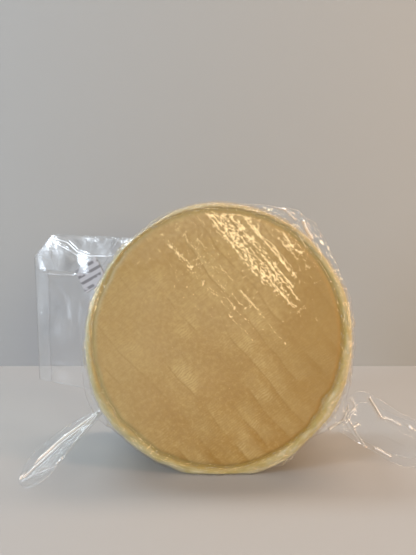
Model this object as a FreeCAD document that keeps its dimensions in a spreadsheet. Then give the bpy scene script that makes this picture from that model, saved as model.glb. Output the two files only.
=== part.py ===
"""Aged goat cheese, vacuum-packed: a wheel standing on its edge in a clear film bag.

Lengths are in millimetres, +X is right, +Y is away from the face that shows and +Z is up. The
origin is the centre of the flat spot that the wheel stands on. The bag clings to the wheel, so
wheel and film are one sealed solid: the seam stands out of the wheel's rim as a thin fin, its two
lower corners are gathered into pleated ears, and its mouth is a folded flap behind the wheel.
"""

import FreeCAD, Part
import os

import Sketcher

SIZES = {
    # the wheel
    "wide": 135.0,
    "tall": 140.0,
    "thick": 62.0,
    "flat_cut": 2.2,
    "back_round": 7.0,
    # its front rim, the groove inside the rim, and the face plate that the groove goes round
    "rim_round": 1.5,
    "rim_band": 4.4,
    "rim_drop": 1.5,
    "groove_wide": 1.2,
    "groove_deep": 2.1,
    "face_round": 3.4,
    "face_side": -0.7,
    "face_rise": 2.2,
    # the film: the fin's reach beyond the rim at its main places
    "film": 0.8,
    "crest_reach": 10.0,
    "left_reach": 8.0,
    "left_knot_turn": 214.3,
    "left_knot_reach": 16.4,
    "right_reach": 7.6,
    "right_knot_turn": 325.6,
    "right_knot_reach": 21.0,
    "ear_root": 4.0,
    "ear_seat": 3.0,
    # the left ear
    "left_ear_long": 46.0,
    "left_ear_neck": 7.0,
    "left_ear_wide": 30.0,
    "left_ear_end": 25.0,
    "left_ear_pleat": 3.2,
    "left_ear_yaw": 221.7,
    "left_ear_end_up": 3.7,
    "left_ear_roll": -6.0,
    # the right ear
    "right_ear_long": 45.0,
    "right_ear_neck": 22.0,
    "right_ear_wide": 32.0,
    "right_ear_end": 24.0,
    "right_ear_pleat": 4.0,
    "right_ear_yaw": -17.5,
    "right_ear_end_up": 13.6,
    "right_ear_roll": 56.0,
    # the flap at the bag's mouth, and the label on it
    "flap_root_x": -25.0,
    "flap_root_y": 16.0,
    "flap_yaw": 152.0,
    "flap_long": 105.0,
    "flap_foot": 22.0,
    "flap_head": 119.0,
    "corner_fold": 14.0,
    "hem": 23.0,
    "side_seal": 10.0,
    "fold_thick": 1.4,
    "label_long": 19.0,
    "label_high": 16.0,
    "label_thick": 0.3,
    "label_clear": 15.6,
    "label_up": 95.0,
    "label_tilt": 30.0,
}

# The fin's corners, counter-clockwise from the right: the turn in degrees about the wheel's
# centre, then which reach it takes and what share of it.
SEAM = (
    ("10", "right_reach", 1.0),
    ("27", "crest_reach", 0.6),
    ("44", "crest_reach", 0.92),
    ("55", "crest_reach", 1.0),
    ("65", "crest_reach", 0.55),
    ("76", "crest_reach", 0.15),
    ("110", "crest_reach", -1.0),
    ("150", "left_reach", -1.0),
    ("164", "left_reach", 0.3),
    ("178", "left_reach", 0.85),
    ("189", "left_reach", 1.1),
    ("202", "left_reach", 1.6),
    ("Sizes.left_knot_turn", "left_knot_reach", 1.0),
    ("230", "left_knot_reach", 0.62),
    ("252", "left_knot_reach", 0.0),
    ("288", "right_knot_reach", 0.0),
    ("309", "right_knot_reach", 0.46),
    ("Sizes.right_knot_turn", "right_knot_reach", 1.0),
    ("328.3", "right_knot_reach", 1.0),
    ("343", "right_reach", 1.5),
)

NEAR = 0.001
PLEATS = 4
CENTRE_UP = "(Sizes.tall - Sizes.flat_cut) / 2"
HALF_TALL = "(Sizes.tall + Sizes.flat_cut) / 2"


def make_sheet(doc):
    """The spreadsheet that holds every driving size under its own name."""
    sheet = doc.addObject("Spreadsheet::Sheet", "Sizes")
    for row, (name, value) in enumerate(SIZES.items(), start=1):
        sheet.set(f"A{row}", name)
        sheet.set(f"B{row}", str(value))
        sheet.setAlias(f"B{row}", name)
    doc.recompute()
    return sheet


def bind(item, **expressions):
    """Bind properties of an object to expressions, with __ in a name standing for a dot."""
    for name, expression in expressions.items():
        item.setExpression(name.replace("__", "."), expression)


# ---------------------------------------------------------------- sketches and bodies


def new_body(doc, name):
    """An empty body, and its three origin planes by their role."""
    body = doc.addObject("PartDesign::Body", name)
    planes = {plane.Role: plane for plane in body.Origin.OriginFeatures}
    return body, planes


def outline(body, plane, name, corners, lift="0"):
    """A closed sketch whose corners, pairs of expressions, are fixed from its origin."""
    sketch = body.newObject("Sketcher::SketchObject", name)
    sketch.AttachmentSupport = [(plane, "")]
    sketch.MapMode = "FlatFace"
    bind(sketch, AttachmentOffset__Base__z=lift)
    points = []
    for across, up in corners:
        x = float(sketch.evalExpression(across))
        y = float(sketch.evalExpression(up))
        points.append(FreeCAD.Vector(x, y, 0))
    count = len(points)
    for i in range(count):
        sketch.addGeometry(Part.LineSegment(points[i], points[(i + 1) % count]), False)
    for i in range(count):
        sketch.addConstraint(Sketcher.Constraint("Coincident", i, 2, (i + 1) % count, 1))
    for i, (across, up) in enumerate(corners):
        for kind, value, expression in (
            ("DistanceX", points[i].x, across),
            ("DistanceY", points[i].y, up),
        ):
            index = sketch.addConstraint(Sketcher.Constraint(kind, -1, 1, i, 1, value))
            sketch.setExpression(f"Constraints[{index}]", expression)
    return sketch


def pad(body, sketch, name, length, midplane):
    """A pad of a sketch, on one side of it or half on each."""
    feature = body.newObject("PartDesign::Pad", name)
    feature.Profile = sketch
    feature.SideType = "Symmetric" if midplane else "One side"
    bind(feature, Length=length)
    return feature


# ---------------------------------------------------------------- the wheel


def rim_point(turn, reach):
    """A point that stands off the wheel's rim by a reach, at a turn about its centre."""
    across = f"(Sizes.wide / 2 + {reach}) * cos(({turn}) * 1 deg)"
    up = f"{CENTRE_UP} + ({HALF_TALL} + {reach}) * sin(({turn}) * 1 deg)"
    return across, up


def disc(doc, name, inset, front, length, on_face):
    """An upright elliptic disc: its inset from the rim, its front plane and its length back."""
    ellipse = doc.addObject("Part::Ellipse", f"{name}Outline")
    right, back, top = (FreeCAD.Vector(*axis) for axis in ((1, 0, 0), (0, 1, 0), (0, 0, 1)))
    half_tall = ellipse.evalExpression(HALF_TALL)
    half_wide = ellipse.evalExpression("Sizes.wide / 2")
    if half_tall >= half_wide:
        turned = FreeCAD.Rotation(top, right, back, "XYZ")
    else:
        turned = FreeCAD.Rotation(right, top * -1, back, "XYZ")
    ellipse.Placement = FreeCAD.Placement(FreeCAD.Vector(), turned)
    bind(
        ellipse,
        MajorRadius=f"max({HALF_TALL}; Sizes.wide / 2) - ({inset})",
        MinorRadius=f"min({HALF_TALL}; Sizes.wide / 2) - ({inset})",
        Placement__Base__x="Sizes.face_side" if on_face else "0",
        Placement__Base__y=front,
        Placement__Base__z=f"{CENTRE_UP} + {'Sizes.face_rise' if on_face else '0'}",
    )
    solid = doc.addObject("Part::Extrusion", name)
    solid.Base = ellipse
    solid.DirMode = "Custom"
    solid.Dir = FreeCAD.Vector(0, 1, 0)
    solid.Solid = True
    bind(solid, LengthFwd=length)
    return solid


def boolean(doc, kind, name, base, tool):
    """One solid cut from another or joined to it."""
    result = doc.addObject(f"Part::{kind}", name)
    result.Base = base
    result.Tool = tool
    return result


def rounded(doc, name, base, rounds):
    """A copy of an object with edges rounded: the plane they lie in, closed or not, radius."""
    doc.recompute()
    fillet = doc.addObject("Part::Fillet", name)
    fillet.Base = base
    chosen = []
    for number, edge in enumerate(base.Shape.Edges, start=1):
        box = edge.BoundBox
        for plane, closed, radius in rounds:
            level = abs(box.YMin - plane) < NEAR and abs(box.YMax - plane) < NEAR
            if level and edge.isClosed() == closed:
                chosen.append((number, radius, radius))
    fillet.Edges = chosen
    return fillet


def wheel(doc, sheet):
    """The wheel: its barrel with a rim, and the raised face plate inside the rim's groove."""
    crest = "-Sizes.thick / 2 + Sizes.rim_drop"
    barrel_long = "Sizes.thick - Sizes.rim_drop"
    groove_foot = "Sizes.rim_band + Sizes.groove_wide"
    barrel = disc(doc, "Barrel", "0", crest, barrel_long, on_face=False)
    recess = disc(doc, "Recess", "Sizes.rim_band", crest, "Sizes.groove_deep", on_face=True)
    plate_long = "Sizes.rim_drop + Sizes.groove_deep * 2"
    plate = disc(doc, "Plate", groove_foot, "-Sizes.thick / 2", plate_long, on_face=True)
    ground = doc.addObject("Part::Box", "Ground")
    bind(
        ground,
        Length="Sizes.wide",
        Width="Sizes.thick * 2",
        Height="Sizes.thick",
        Placement__Base__x="-Sizes.wide / 2",
        Placement__Base__y="-Sizes.thick",
        Placement__Base__z="-Sizes.thick",
    )
    standing = boolean(doc, "Cut", "StandingBarrel", barrel, ground)
    sunk = boolean(doc, "Cut", "SunkBarrel", standing, recess)
    whole = boolean(doc, "Fuse", "SharpWheel", sunk, plate)
    rounds = (
        (sheet.thick / 2, False, sheet.back_round),
        (-sheet.thick / 2 + sheet.rim_drop, False, sheet.rim_round),
        (-sheet.thick / 2, True, sheet.face_round),
    )
    return rounded(doc, "Wheel", whole, rounds)


# ---------------------------------------------------------------- the film


def fin(doc):
    """The bag's seam in the wheel's middle plane, drawn out to both gathered corners."""
    body, planes = new_body(doc, "Fin")
    corners = [rim_point(turn, f"Sizes.{reach} * {share}") for turn, reach, share in SEAM]
    sketch = outline(body, planes["XZ_Plane"], "FinOutline", corners)
    pad(body, sketch, "FinPad", "Sizes.film", midplane=True)
    return body


def pleated_strip(width, pleat):
    """Corners of a zigzag strip of film, out along its top and back along its underside."""
    top = []
    for i in range(PLEATS + 1):
        across = f"({width}) * {i / PLEATS - 0.5:.4f}"
        height = f"({pleat}) * {0.5 if i % 2 else -0.5}"
        top.append((across, height))
    underside = [(across, f"{height} - Sizes.film") for across, height in reversed(top)]
    return top + underside


def ear(doc, side):
    """One gathered corner of the bag: a pleated fan from its knot to its open end."""
    body, planes = new_body(doc, f"{side.title()}Ear")
    own = f"Sizes.{side}_ear_"
    sections = (
        ("Neck", "-Sizes.ear_root", f"{own}neck", f"{own}pleat * 0.6"),
        ("Middle", f"{own}long * 0.55", f"{own}wide", f"{own}pleat"),
        ("End", f"{own}long", f"{own}end", f"{own}pleat * 0.7"),
    )
    sketches = []
    for name, along, width, pleat in sections:
        corners = pleated_strip(width, pleat)
        label = f"{side.title()}Ear{name}"
        sketches.append(outline(body, planes["YZ_Plane"], label, corners, lift=along))
    fan = body.newObject("PartDesign::AdditiveLoft", f"{side.title()}EarFan")
    fan.Profile = sketches[0]
    fan.Sections = sketches[1:]
    fan.Ruled = True
    seat = f"Sizes.{side}_knot_reach - Sizes.ear_seat"
    across, up = rim_point(f"Sizes.{side}_knot_turn", seat)
    dip = f"asin(({up} - {own}end_up) / {own}long)"
    turns = f"rotation({own}yaw; {dip}; {own}roll)"
    bind(body, Placement=f"placement(vector({across}; 0; {up}); {turns})")
    return body


def flap_placement(out, up, tilt):
    """A place on the flap's plane, given along it, up it and turned in it."""
    yaw = "Sizes.flap_yaw"
    x = f"Sizes.flap_root_x + ({out}) * cos({yaw} * 1 deg)"
    y = f"Sizes.flap_root_y + ({out}) * sin({yaw} * 1 deg)"
    return f"placement(vector({x}; {y}; {up}); rotation({yaw}; {tilt}; 0))"


def flap(doc):
    """The bag's mouth behind the wheel: a flat sheet with a top hem, a side seal and a fold."""
    body, planes = new_body(doc, "Flap")
    plane = planes["XZ_Plane"]
    end = "Sizes.flap_long"
    head = "Sizes.flap_head"
    fold_start = f"{end} - Sizes.corner_fold * 0.8"
    fold_foot = f"{head} - Sizes.corner_fold"
    seal = f"{end} - Sizes.side_seal"
    hem_foot = f"{head} - Sizes.hem"
    sheet = [("0", "Sizes.flap_foot"), (end, "Sizes.flap_foot"), (end, fold_foot)]
    sheet += [(fold_start, head), ("0", head)]
    hem = [("0", hem_foot), (end, hem_foot), (end, fold_foot), (fold_start, head), ("0", head)]
    strip = [(seal, "Sizes.flap_foot"), (end, "Sizes.flap_foot"), (end, hem_foot)]
    strip += [(seal, hem_foot)]
    for name, corners, depth in (
        ("Sheet", sheet, "Sizes.film"),
        ("Hem", hem, "Sizes.fold_thick"),
        ("Seal", strip, "Sizes.fold_thick"),
    ):
        sketch = outline(body, plane, f"Flap{name}Outline", corners)
        pad(body, sketch, f"Flap{name}", depth, midplane=True)
    bind(body, Placement=flap_placement("0", "0", "0"))
    return body


def vacuum_pack(doc, sheet):
    """The whole sealed pack as one solid: the wheel and all the film that stands off it."""
    pack = doc.addObject("Part::MultiFuse", "Pack")
    pack.Shapes = [wheel(doc, sheet), fin(doc), ear(doc, "left"), ear(doc, "right"), flap(doc)]
    pack.Label = "vacuum_pack"
    return pack


# ---------------------------------------------------------------- the label


def label(doc):
    """The small sticker, face to face with the front of the flap's hem."""
    body, planes = new_body(doc, "Label")
    half_long = "Sizes.label_long / 2"
    half_high = "Sizes.label_high / 2"
    corners = [(f"-{half_long}", f"-{half_high}"), (half_long, f"-{half_high}")]
    corners += [(half_long, half_high), (f"-{half_long}", half_high)]
    lift = "-(Sizes.fold_thick / 2 + Sizes.label_thick)"
    sketch = outline(body, planes["XZ_Plane"], "LabelOutline", corners, lift=lift)
    pad(body, sketch, "LabelPad", "Sizes.label_thick", midplane=False)
    tilt = "Sizes.label_tilt * 1 deg"
    wheel_side = "(Sizes.thick / 2 - Sizes.flap_root_y) / sin(Sizes.flap_yaw * 1 deg)"
    reach = f"{half_long} * cos({tilt}) + {half_high} * sin({tilt}) + Sizes.label_clear"
    place = flap_placement(f"{wheel_side} + {reach}", "Sizes.label_up", "Sizes.label_tilt")
    bind(body, Placement=place)
    body.Label = "label"
    return body


# ---------------------------------------------------------------- building and writing


def check(doc, nodes):
    """Stop if any object failed or any node is not one sound solid."""
    for item in doc.Objects:
        if "Invalid" in item.State or "Error" in item.State:
            raise RuntimeError(f"{item.Name} failed: {item.State}")
    for node in nodes:
        shape = node.Shape
        if shape.isNull() or not shape.isValid():
            raise RuntimeError(f"{node.Label} has no valid shape")
        if len(shape.Solids) != 1:
            raise RuntimeError(f"{node.Label} has {len(shape.Solids)} solids")


def main():
    """Build the document, check it and write one file for each node."""
    doc = FreeCAD.newDocument("GoatCheese")
    sheet = make_sheet(doc)
    nodes = [vacuum_pack(doc, sheet), label(doc)]
    doc.recompute()
    check(doc, nodes)
    os.makedirs("parts", exist_ok=True)
    for node in nodes:
        node.Shape.exportStep(f"parts/{node.Label}.step")
        box = node.Shape.BoundBox
        print(f"{node.Label}: {node.Shape.Volume / 1000:.1f} cm3, {box}")


main()
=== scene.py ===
"""Aged goat cheese in a vacuum bag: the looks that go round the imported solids.

Sizes are in millimetres, as in the part's source, and become metres where a mesh is made. The
wheel stands on its edge, its face towards -Y. Its film clings to it, the bag's seam stands out of
its rim, two corners of the bag are gathered into ears, and the bag's mouth is a flap behind it.
"""

import math

import bmesh
import bpy
import numpy as np
from mathutils import Euler, Matrix, Vector, noise


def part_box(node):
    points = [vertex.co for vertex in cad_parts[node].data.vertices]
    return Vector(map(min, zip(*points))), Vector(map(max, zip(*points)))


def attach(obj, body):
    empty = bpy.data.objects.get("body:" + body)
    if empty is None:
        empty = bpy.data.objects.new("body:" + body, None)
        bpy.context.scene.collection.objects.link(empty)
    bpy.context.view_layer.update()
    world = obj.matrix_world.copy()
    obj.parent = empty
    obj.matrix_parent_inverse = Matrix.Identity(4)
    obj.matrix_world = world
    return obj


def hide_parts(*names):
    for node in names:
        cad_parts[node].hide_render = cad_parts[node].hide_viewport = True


MM = 0.001

# the wheel's sizes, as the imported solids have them, but with the groove and rim softer
WIDE, TALL, THICK, FLAT_CUT = 135.0, 140.0, 62.0, 2.2
CENTRE_UP = (TALL - FLAT_CUT) / 2
HALF_WIDE, HALF_TALL = WIDE / 2, (TALL + FLAT_CUT) / 2
FRONT, BACK = -THICK / 2, THICK / 2
FACE_SIDE, FACE_RISE, FACE_DOME = -0.7, 2.2, 0.5
FACE_ROUND, BACK_ROUND = 3.4, 7.0
PLATE_INSET, RIM_DROP = 5.0, 0.9
GROOVE_FLOOR, RIM_EDGE = -29.5, -28.8
NOISE_RADIUS = 60

# how far each part keeps above the floor
CHEESE_FOOT, FILM_FOOT, SEAM_FOOT, EAR_FOOT = 0.7, 0.15, 0.2, 0.3

# how fine the meshes are: points round the wheel, the seam's step in degrees and its rows, the
# ears' rows and lanes, and the flap's step
TURN_COUNT, SEAM_STEP, SEAM_ROWS = 720, 0.35, 34
EAR_ROWS, EAR_LANES, FLAP_STEP = 120, 110, 0.62

# the wheel's own unevenness: each turn and width in degrees, and its height
OUTLINE_SWELLS = (
    (20, 12, 0.5), (55, 14, 0.5), (125, 12, -0.9), (150, 9, -0.7), (205, 16, 0.8),
    (230, 6, -0.5), (246, 10, -0.9), (300, 7, 0.3), (315, 9, -1.0),
)
PLATE_SWELLS = ((332, 5, -1.8), (322, 4, -0.7), (228, 6, -1.0), (152, 6, -0.8), (60, 10, 0.4))
LUMPY_TURNS = ((222, 22, 1.0), (335, 20, 1.0), (262, 30, 1.0), (150, 14, 1.0))
RUFFLED_TURNS = ((345, 9, 1.0), (331, 6, 0.8), (262, 5, 0.6), (222, 14, 0.5))

# the strips on the face: how they fall to the right, their width and their rungs, in metres
STRIP_FALL = math.radians(50)
STRIP_WIDTH, RUNG = 0.0118, 0.0013

# the seam's reach beyond the rim, by the turn in degrees, and where it is crumpled and ragged
SEAM_RIGHT = (
    (-72, 0.2), (-60, 5.0), (-51, 9.7), (-40, 15.5), (-34.4, 21.0), (-31.7, 20.0),
    (-26, 13.0), (-17, 11.0), (0, 8.4), (10, 7.6), (27, 6.3), (44, 9.2), (55, 10.0),
    (65, 5.5), (76, 1.5), (82, 0.2),
)
SEAM_LEFT = (
    (157, 0.2), (164, 2.8), (178, 6.8), (189, 9.2), (202, 13.2), (209, 15.4), (214.3, 16.4),
    (219, 14.2), (230, 10.2), (241, 4.6), (251, 0.3),
)
CRUMPLED_TURNS = ((50, 14, 1.0),)
RAGGED_TURNS = ((48, 18, 1.0),)

# the bag's two gathered corners: the turn in degrees, and the reach beyond the rim
KNOTS = ((214.3, 13.4), (325.6, 18.0))

# the loose film's thickness, and the radius of the bead along its melted edges
FILM, EDGE_RADIUS = 0.3, 0.16

# the flap behind the wheel: its root's place and its turn, then its lengths
FLAP_ROOT, FLAP_YAW = (-25.0, 16.0), math.radians(152)
FLAP_START, FLAP_LONG, FLAP_FOOT, FLAP_HEAD = 24.0, 105.0, 22.0, 119.0
HEM, SIDE_SEAL, CORNER_FOLD = 23.0, 10.0, 14.0

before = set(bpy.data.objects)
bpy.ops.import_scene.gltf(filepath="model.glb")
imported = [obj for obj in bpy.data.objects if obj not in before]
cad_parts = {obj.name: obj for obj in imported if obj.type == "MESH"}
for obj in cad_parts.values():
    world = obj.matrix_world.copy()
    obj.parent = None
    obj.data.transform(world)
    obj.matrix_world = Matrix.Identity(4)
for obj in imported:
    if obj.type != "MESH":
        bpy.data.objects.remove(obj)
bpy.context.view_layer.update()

# -------- meshes


def lattice(points, wrap=False, first_pole=None, last_pole=None):
    """Vertices and faces over rows of points, closed round each row and at its poles if asked."""
    rows, count = points.shape[:2]
    verts = [Vector(p) * MM for p in points.reshape(-1, 3)]
    index = np.arange(rows * count).reshape(rows, count)
    after = np.roll(index, -1, axis=1) if wrap else index[:, 1:]
    here = index if wrap else index[:, :-1]
    quads = np.stack([here[:-1], after[:-1], after[1:], here[1:]], axis=-1)
    faces = quads.reshape(-1, 4).tolist()
    for pole, row in ((first_pole, 0), (last_pole, rows - 1)):
        if pole is not None:
            verts.append(Vector(pole) * MM)
            tip = len(verts) - 1
            faces += [[tip, int(a), int(b)] for a, b in zip(here[row], after[row])]
    return verts, faces


def new_object(name, data):
    """An object in the scene."""
    made = bpy.data.objects.new(name, data)
    bpy.context.scene.collection.objects.link(made)
    return made


def make_piece(name, sheets, thickness=0.0, creased=()):
    """An object of one or more lattices, with thin walls if given a thickness.

    Each lattice may have an array that says how creased it is, kept as an attribute.
    """
    mesh = bpy.data.meshes.new(name)
    verts, faces = [], []
    for sheet_verts, sheet_faces in sheets:
        base = len(verts)
        verts += sheet_verts
        faces += [[base + i for i in face] for face in sheet_faces]
    mesh.from_pydata(verts, [], faces)
    if len(creased):
        mark = mesh.attributes.new("crease", "FLOAT", "POINT")
        mark.data.foreach_set("value", np.concatenate([c.ravel() for c in creased]))
    work = bmesh.new()
    work.from_mesh(mesh)
    bmesh.ops.recalc_face_normals(work, faces=work.faces)
    work.to_mesh(mesh)
    work.free()
    piece = new_object(name, mesh)
    if thickness:
        wall = piece.modifiers.new("film wall", "SOLIDIFY")
        wall.thickness = thickness * MM
        wall.offset = 0.0
        finish_modifiers(piece)
    piece.data.shade_smooth()
    return piece


def finish_modifiers(piece):
    """Turn a piece's modifiers into its plain mesh."""
    bpy.context.view_layer.update()
    evaluated = piece.evaluated_get(bpy.context.evaluated_depsgraph_get())
    made = bpy.data.meshes.new_from_object(evaluated)
    piece.modifiers.clear()
    piece.data = made
    made.name = piece.name


def ripple(points, scale, seed):
    """Smooth noise from about -1 to 1 at each point, with a scale in mm, one number or three."""
    places = np.asarray(points, float) / np.asarray(scale, float) + seed * 7.31
    flat = places.reshape(-1, 3)
    return np.array([noise.noise(Vector(p)) for p in flat]).reshape(places.shape[:-1])


def creases(points, scale, seed):
    """Sharp-topped folds from 0 to 1: the ridges of smooth noise."""
    return 1 - np.clip(np.abs(ripple(points, scale, seed)) * 2.6, 0, 1)


def swell(turns, places):
    """The sum of soft bumps round the wheel: turn, width and height each."""
    total = np.zeros_like(turns)
    for at, width, height in places:
        gap = (np.degrees(turns) - at + 180) % 360 - 180
        total += height * np.exp(-((gap / width) ** 2))
    return total


def soften(line, passes):
    """A line of numbers with its corners eased, its ends kept."""
    line = np.array(line, float)
    for _ in range(passes):
        line[1:-1] = (line[:-2] + line[1:-1] * 2 + line[2:]) / 4
    return line


def smooth_step(value, low, high):
    """0 below low, 1 above high and smooth between."""
    t = np.clip((value - low) / (high - low), 0, 1)
    return t * t * (3 - 2 * t)


# -------- the wheel of cheese


def spoke_at(turns):
    """The way out from the wheel's middle at each turn round it."""
    return np.stack([np.cos(turns), 0 * turns, np.sin(turns)], axis=-1)


def wheel_rows(turns):
    """The wheel's surface as rows of points round it, from the face's centre to the back's."""
    spoke = spoke_at(turns)
    knobs = ripple(spoke * NOISE_RADIUS, 7.0, 3) * np.clip(swell(turns, LUMPY_TURNS) + 0.25, 0, 1)
    centre = np.array([FACE_SIDE, 0, CENTRE_UP + FACE_RISE])
    plate = centre + spoke * np.array([HALF_WIDE - PLATE_INSET, 0, HALF_TALL - PLATE_INSET])
    plate += spoke * (swell(turns, PLATE_SWELLS) + knobs * 0.7)[:, None]
    outer = np.array([0, 0, CENTRE_UP]) + spoke * np.array([HALF_WIDE, 0, HALF_TALL])
    outer += spoke * (swell(turns, OUTLINE_SWELLS) + knobs * 0.45)[:, None]
    rows, zone = [], []

    def add_row(ring, depth, groove=0.0, rim=0.0, band=0.0):
        row = ring.copy()
        row[:, 1] = depth
        rows.append(row)
        zone.append((groove, rim, band))

    face_edge = FRONT + FACE_DOME
    shoulder = plate - spoke * FACE_ROUND
    for share in np.linspace(0, 1, 32)[1:]:
        add_row(centre + (shoulder - centre) * share, FRONT + FACE_DOME * share**6)
    for share in np.linspace(0.12, 1, 9):
        ring = plate - spoke * FACE_ROUND * (1 - share)
        add_row(ring, face_edge + (GROOVE_FLOOR - face_edge) * share**2.6, groove=share**4)
    add_row(plate + spoke * 0.35, GROOVE_FLOOR, groove=1.0, rim=0.1)
    add_row(plate + spoke * 0.8, GROOVE_FLOOR - 0.15, groove=1.0, rim=0.3)
    rim_foot = plate + spoke * 1.1
    for share in np.linspace(0, 1, 14):
        crest = RIM_EDGE - (1 - share) * 0.6 - RIM_DROP * (1 - abs(2 * share - 1) ** 2)
        rope = spoke_at(turns + 0.10 * share) * NOISE_RADIUS
        rope[:, 1] = share * 3
        lumps = ripple(rope, 4.6, 6) * 0.55 + ripple(rope, 2.3, 7) * 0.25
        wavy = (knobs * 0.5 - lumps) * math.sin(math.pi * share)
        ring = rim_foot + (outer - rim_foot) * share
        add_row(ring, crest + wavy, max(0.0, 0.75 - share * 3.2), min(1.0, 0.4 + share * 2), share)
    for depth in np.linspace(RIM_EDGE + 1.2, BACK - BACK_ROUND, 14):
        belly = 0.35 * math.sin(math.pi * (depth - FRONT) / THICK)
        add_row(outer + spoke * belly, depth, rim=1.0, band=1.0)
    for bend in np.radians(np.linspace(13, 90, 7)):
        ring = outer - spoke * BACK_ROUND * (1 - math.cos(bend))
        add_row(ring, BACK - BACK_ROUND * (1 - math.sin(bend)), rim=1.0 - 0.6 * bend, band=1.0)
    back_edge = outer - spoke * BACK_ROUND
    middle = np.array([0, 0, CENTRE_UP])
    for share in np.linspace(1, 0, 16)[1:-1]:
        add_row(middle + (back_edge - middle) * share, BACK)
    points = np.array(rows)
    points[..., 1] += ripple(points, 22.0, 5) * 0.35
    return points, np.array(zone), centre


def row_normals(points):
    """Outward directions of a closed lattice, from its neighbours."""
    along = np.roll(points, -1, axis=1) - np.roll(points, 1, axis=1)
    across = np.gradient(points, axis=0)
    normal = np.cross(along, across)
    normal /= np.maximum(np.linalg.norm(normal, axis=-1, keepdims=True), 1e-9)
    inward = np.array([0, 0, CENTRE_UP]) - points
    flip = np.sign(-(normal * inward).sum(axis=-1, keepdims=True))
    return normal * np.where(flip == 0, 1, flip)


def stand_on_floor(points, floor):
    """Flatten what would go below a level, as the wheel's weight does."""
    points[..., 2] = np.where(points[..., 2] < floor, floor, points[..., 2])
    return points


TURNS = np.linspace(0, 2 * math.pi, TURN_COUNT, endpoint=False)
wheel_points, wheel_zone, face_centre = wheel_rows(TURNS)


def closed_wheel(name, points, creased=()):
    """A piece of the wheel's rows, closed at the middle of its face and of its back."""
    first = (face_centre[0], float(points[0, :, 1].mean()), face_centre[2])
    last = (0, float(points[-1, :, 1].mean()), CENTRE_UP)
    return make_piece(name, [lattice(points, True, first, last)], creased=creased)


def mark_zone(piece, name, by_row):
    """Keep a number for each row of a closed lattice as an attribute for its material."""
    mark = piece.data.attributes.new(name, "FLOAT", "POINT")
    mark.data.foreach_set("value", np.repeat(by_row, len(TURNS)).tolist() + [0.0, 0.0])


def cheese():
    """The wheel of cheese itself, its groove, rim and rind marked for its material."""
    piece = closed_wheel("cheese", stand_on_floor(wheel_points.copy(), CHEESE_FOOT))
    for name, by_row in zip(("groove", "rim", "band"), wheel_zone.transpose()):
        mark_zone(piece, name, by_row)
    return piece


def film_lift(points):
    """How far the film stands off the cheese at each point, and how whitened it is there."""
    depth = points[..., 1]
    groove = wheel_zone[:, 0][:, None]
    rim = wheel_zone[:, 1][:, None]
    round_rim = np.broadcast_to(spoke_at(TURNS) * NOISE_RADIUS, points.shape).copy()
    round_rim[..., 1] = depth * 0.25
    near_rim = np.clip(groove + rim, 0, 1) * (1 - smooth_step(depth, -20, 5) * 0.5)
    edge = np.exp(-(((depth - RIM_EDGE) / 1.3) ** 2)) * rim
    barrel = smooth_step(depth, -26, -20) * (1 - smooth_step(depth, 24, 31))
    back = smooth_step(depth, 29.5, 30.5)
    puckers = creases(round_rim, 3.2, 11) * 0.5 + creases(round_rim, 7.5, 12) * 0.5
    stray = np.clip(ripple(round_rim, 11.0, 15) * 1.6 + 0.35, 0, 1)
    fine = creases(round_rim, 1.7, 16) * (0.12 + 0.45 * swell(TURNS, RUFFLED_TURNS)[None, :])
    lift = 0.30 + 0.1 * groove
    lift = lift + near_rim * (puckers * (0.4 + 0.7 * stray) + fine * 1.4)
    lift = lift + barrel * creases(points * np.array([1, 0.35, 1]), 9.0, 13) * 0.5
    lift = lift + edge * (0.25 + 0.6 * stray * puckers)
    lift = lift + back * creases(points * np.array([1, 1, 0.45]), 15.0, 14) * 0.35
    whitened = np.clip(creases(round_rim, 7.0, 17) * 4 - 3, 0, 1) * barrel * 0.4
    return lift, whitened


def clinging_film():
    """The film drawn down on the cheese, puckered over its rim and creased round its barrel."""
    points = stand_on_floor(wheel_points.copy(), CHEESE_FOOT)
    lift, whitened = film_lift(points)
    points = points + row_normals(points) * lift[..., None]
    points[..., 1] -= 0.35 * wheel_zone[:, 0][:, None]
    points = stand_on_floor(points, FILM_FOOT)
    piece = closed_wheel("film_on_wheel", points, (np.append(whitened.ravel(), (0, 0)),))
    mark_zone(piece, "rim", np.clip(wheel_zone[:, :2].sum(axis=1), 0, 1))
    return piece


# -------- the film that stands off


def rim_point(turn, reach):
    """A point that stands off the wheel's rim by a reach, in its middle plane."""
    side = (HALF_WIDE + reach) * np.cos(turn)
    up = CENTRE_UP + (HALF_TALL + reach) * np.sin(turn)
    return np.stack([side, 0 * turn, up], axis=-1)


def knot_folds(points):
    """Folds that run out from the bag's two gathered corners, from -1 to 1."""
    total = np.zeros(points.shape[:-1])
    for number, (turn, reach) in enumerate(KNOTS):
        knot = rim_point(math.radians(turn), reach)
        out = points - knot
        distance = np.linalg.norm(out, axis=-1)
        bearing = np.arctan2(out[..., 2], out[..., 0])
        ring = np.stack([np.cos(bearing), np.sin(bearing), np.zeros_like(bearing)], -1)
        folds = creases(ring * 10, 1.5, 21 + number) - 0.4
        total += folds * np.exp(-distance / 22) * smooth_step(distance, 0, 4)
    return total


def near_line(across, along, line):
    """How far each place is from a line of points, in mm."""
    nearest = np.full(np.shape(across), 1e9)
    for (x0, y0), (x1, y1) in zip(line[:-1], line[1:]):
        dx, dy = x1 - x0, y1 - y0
        t = np.clip(((across - x0) * dx + (along - y0) * dy) / (dx * dx + dy * dy), 0, 1)
        nearest = np.minimum(nearest, np.hypot(across - x0 - t * dx, along - y0 - t * dy))
    return nearest


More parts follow.
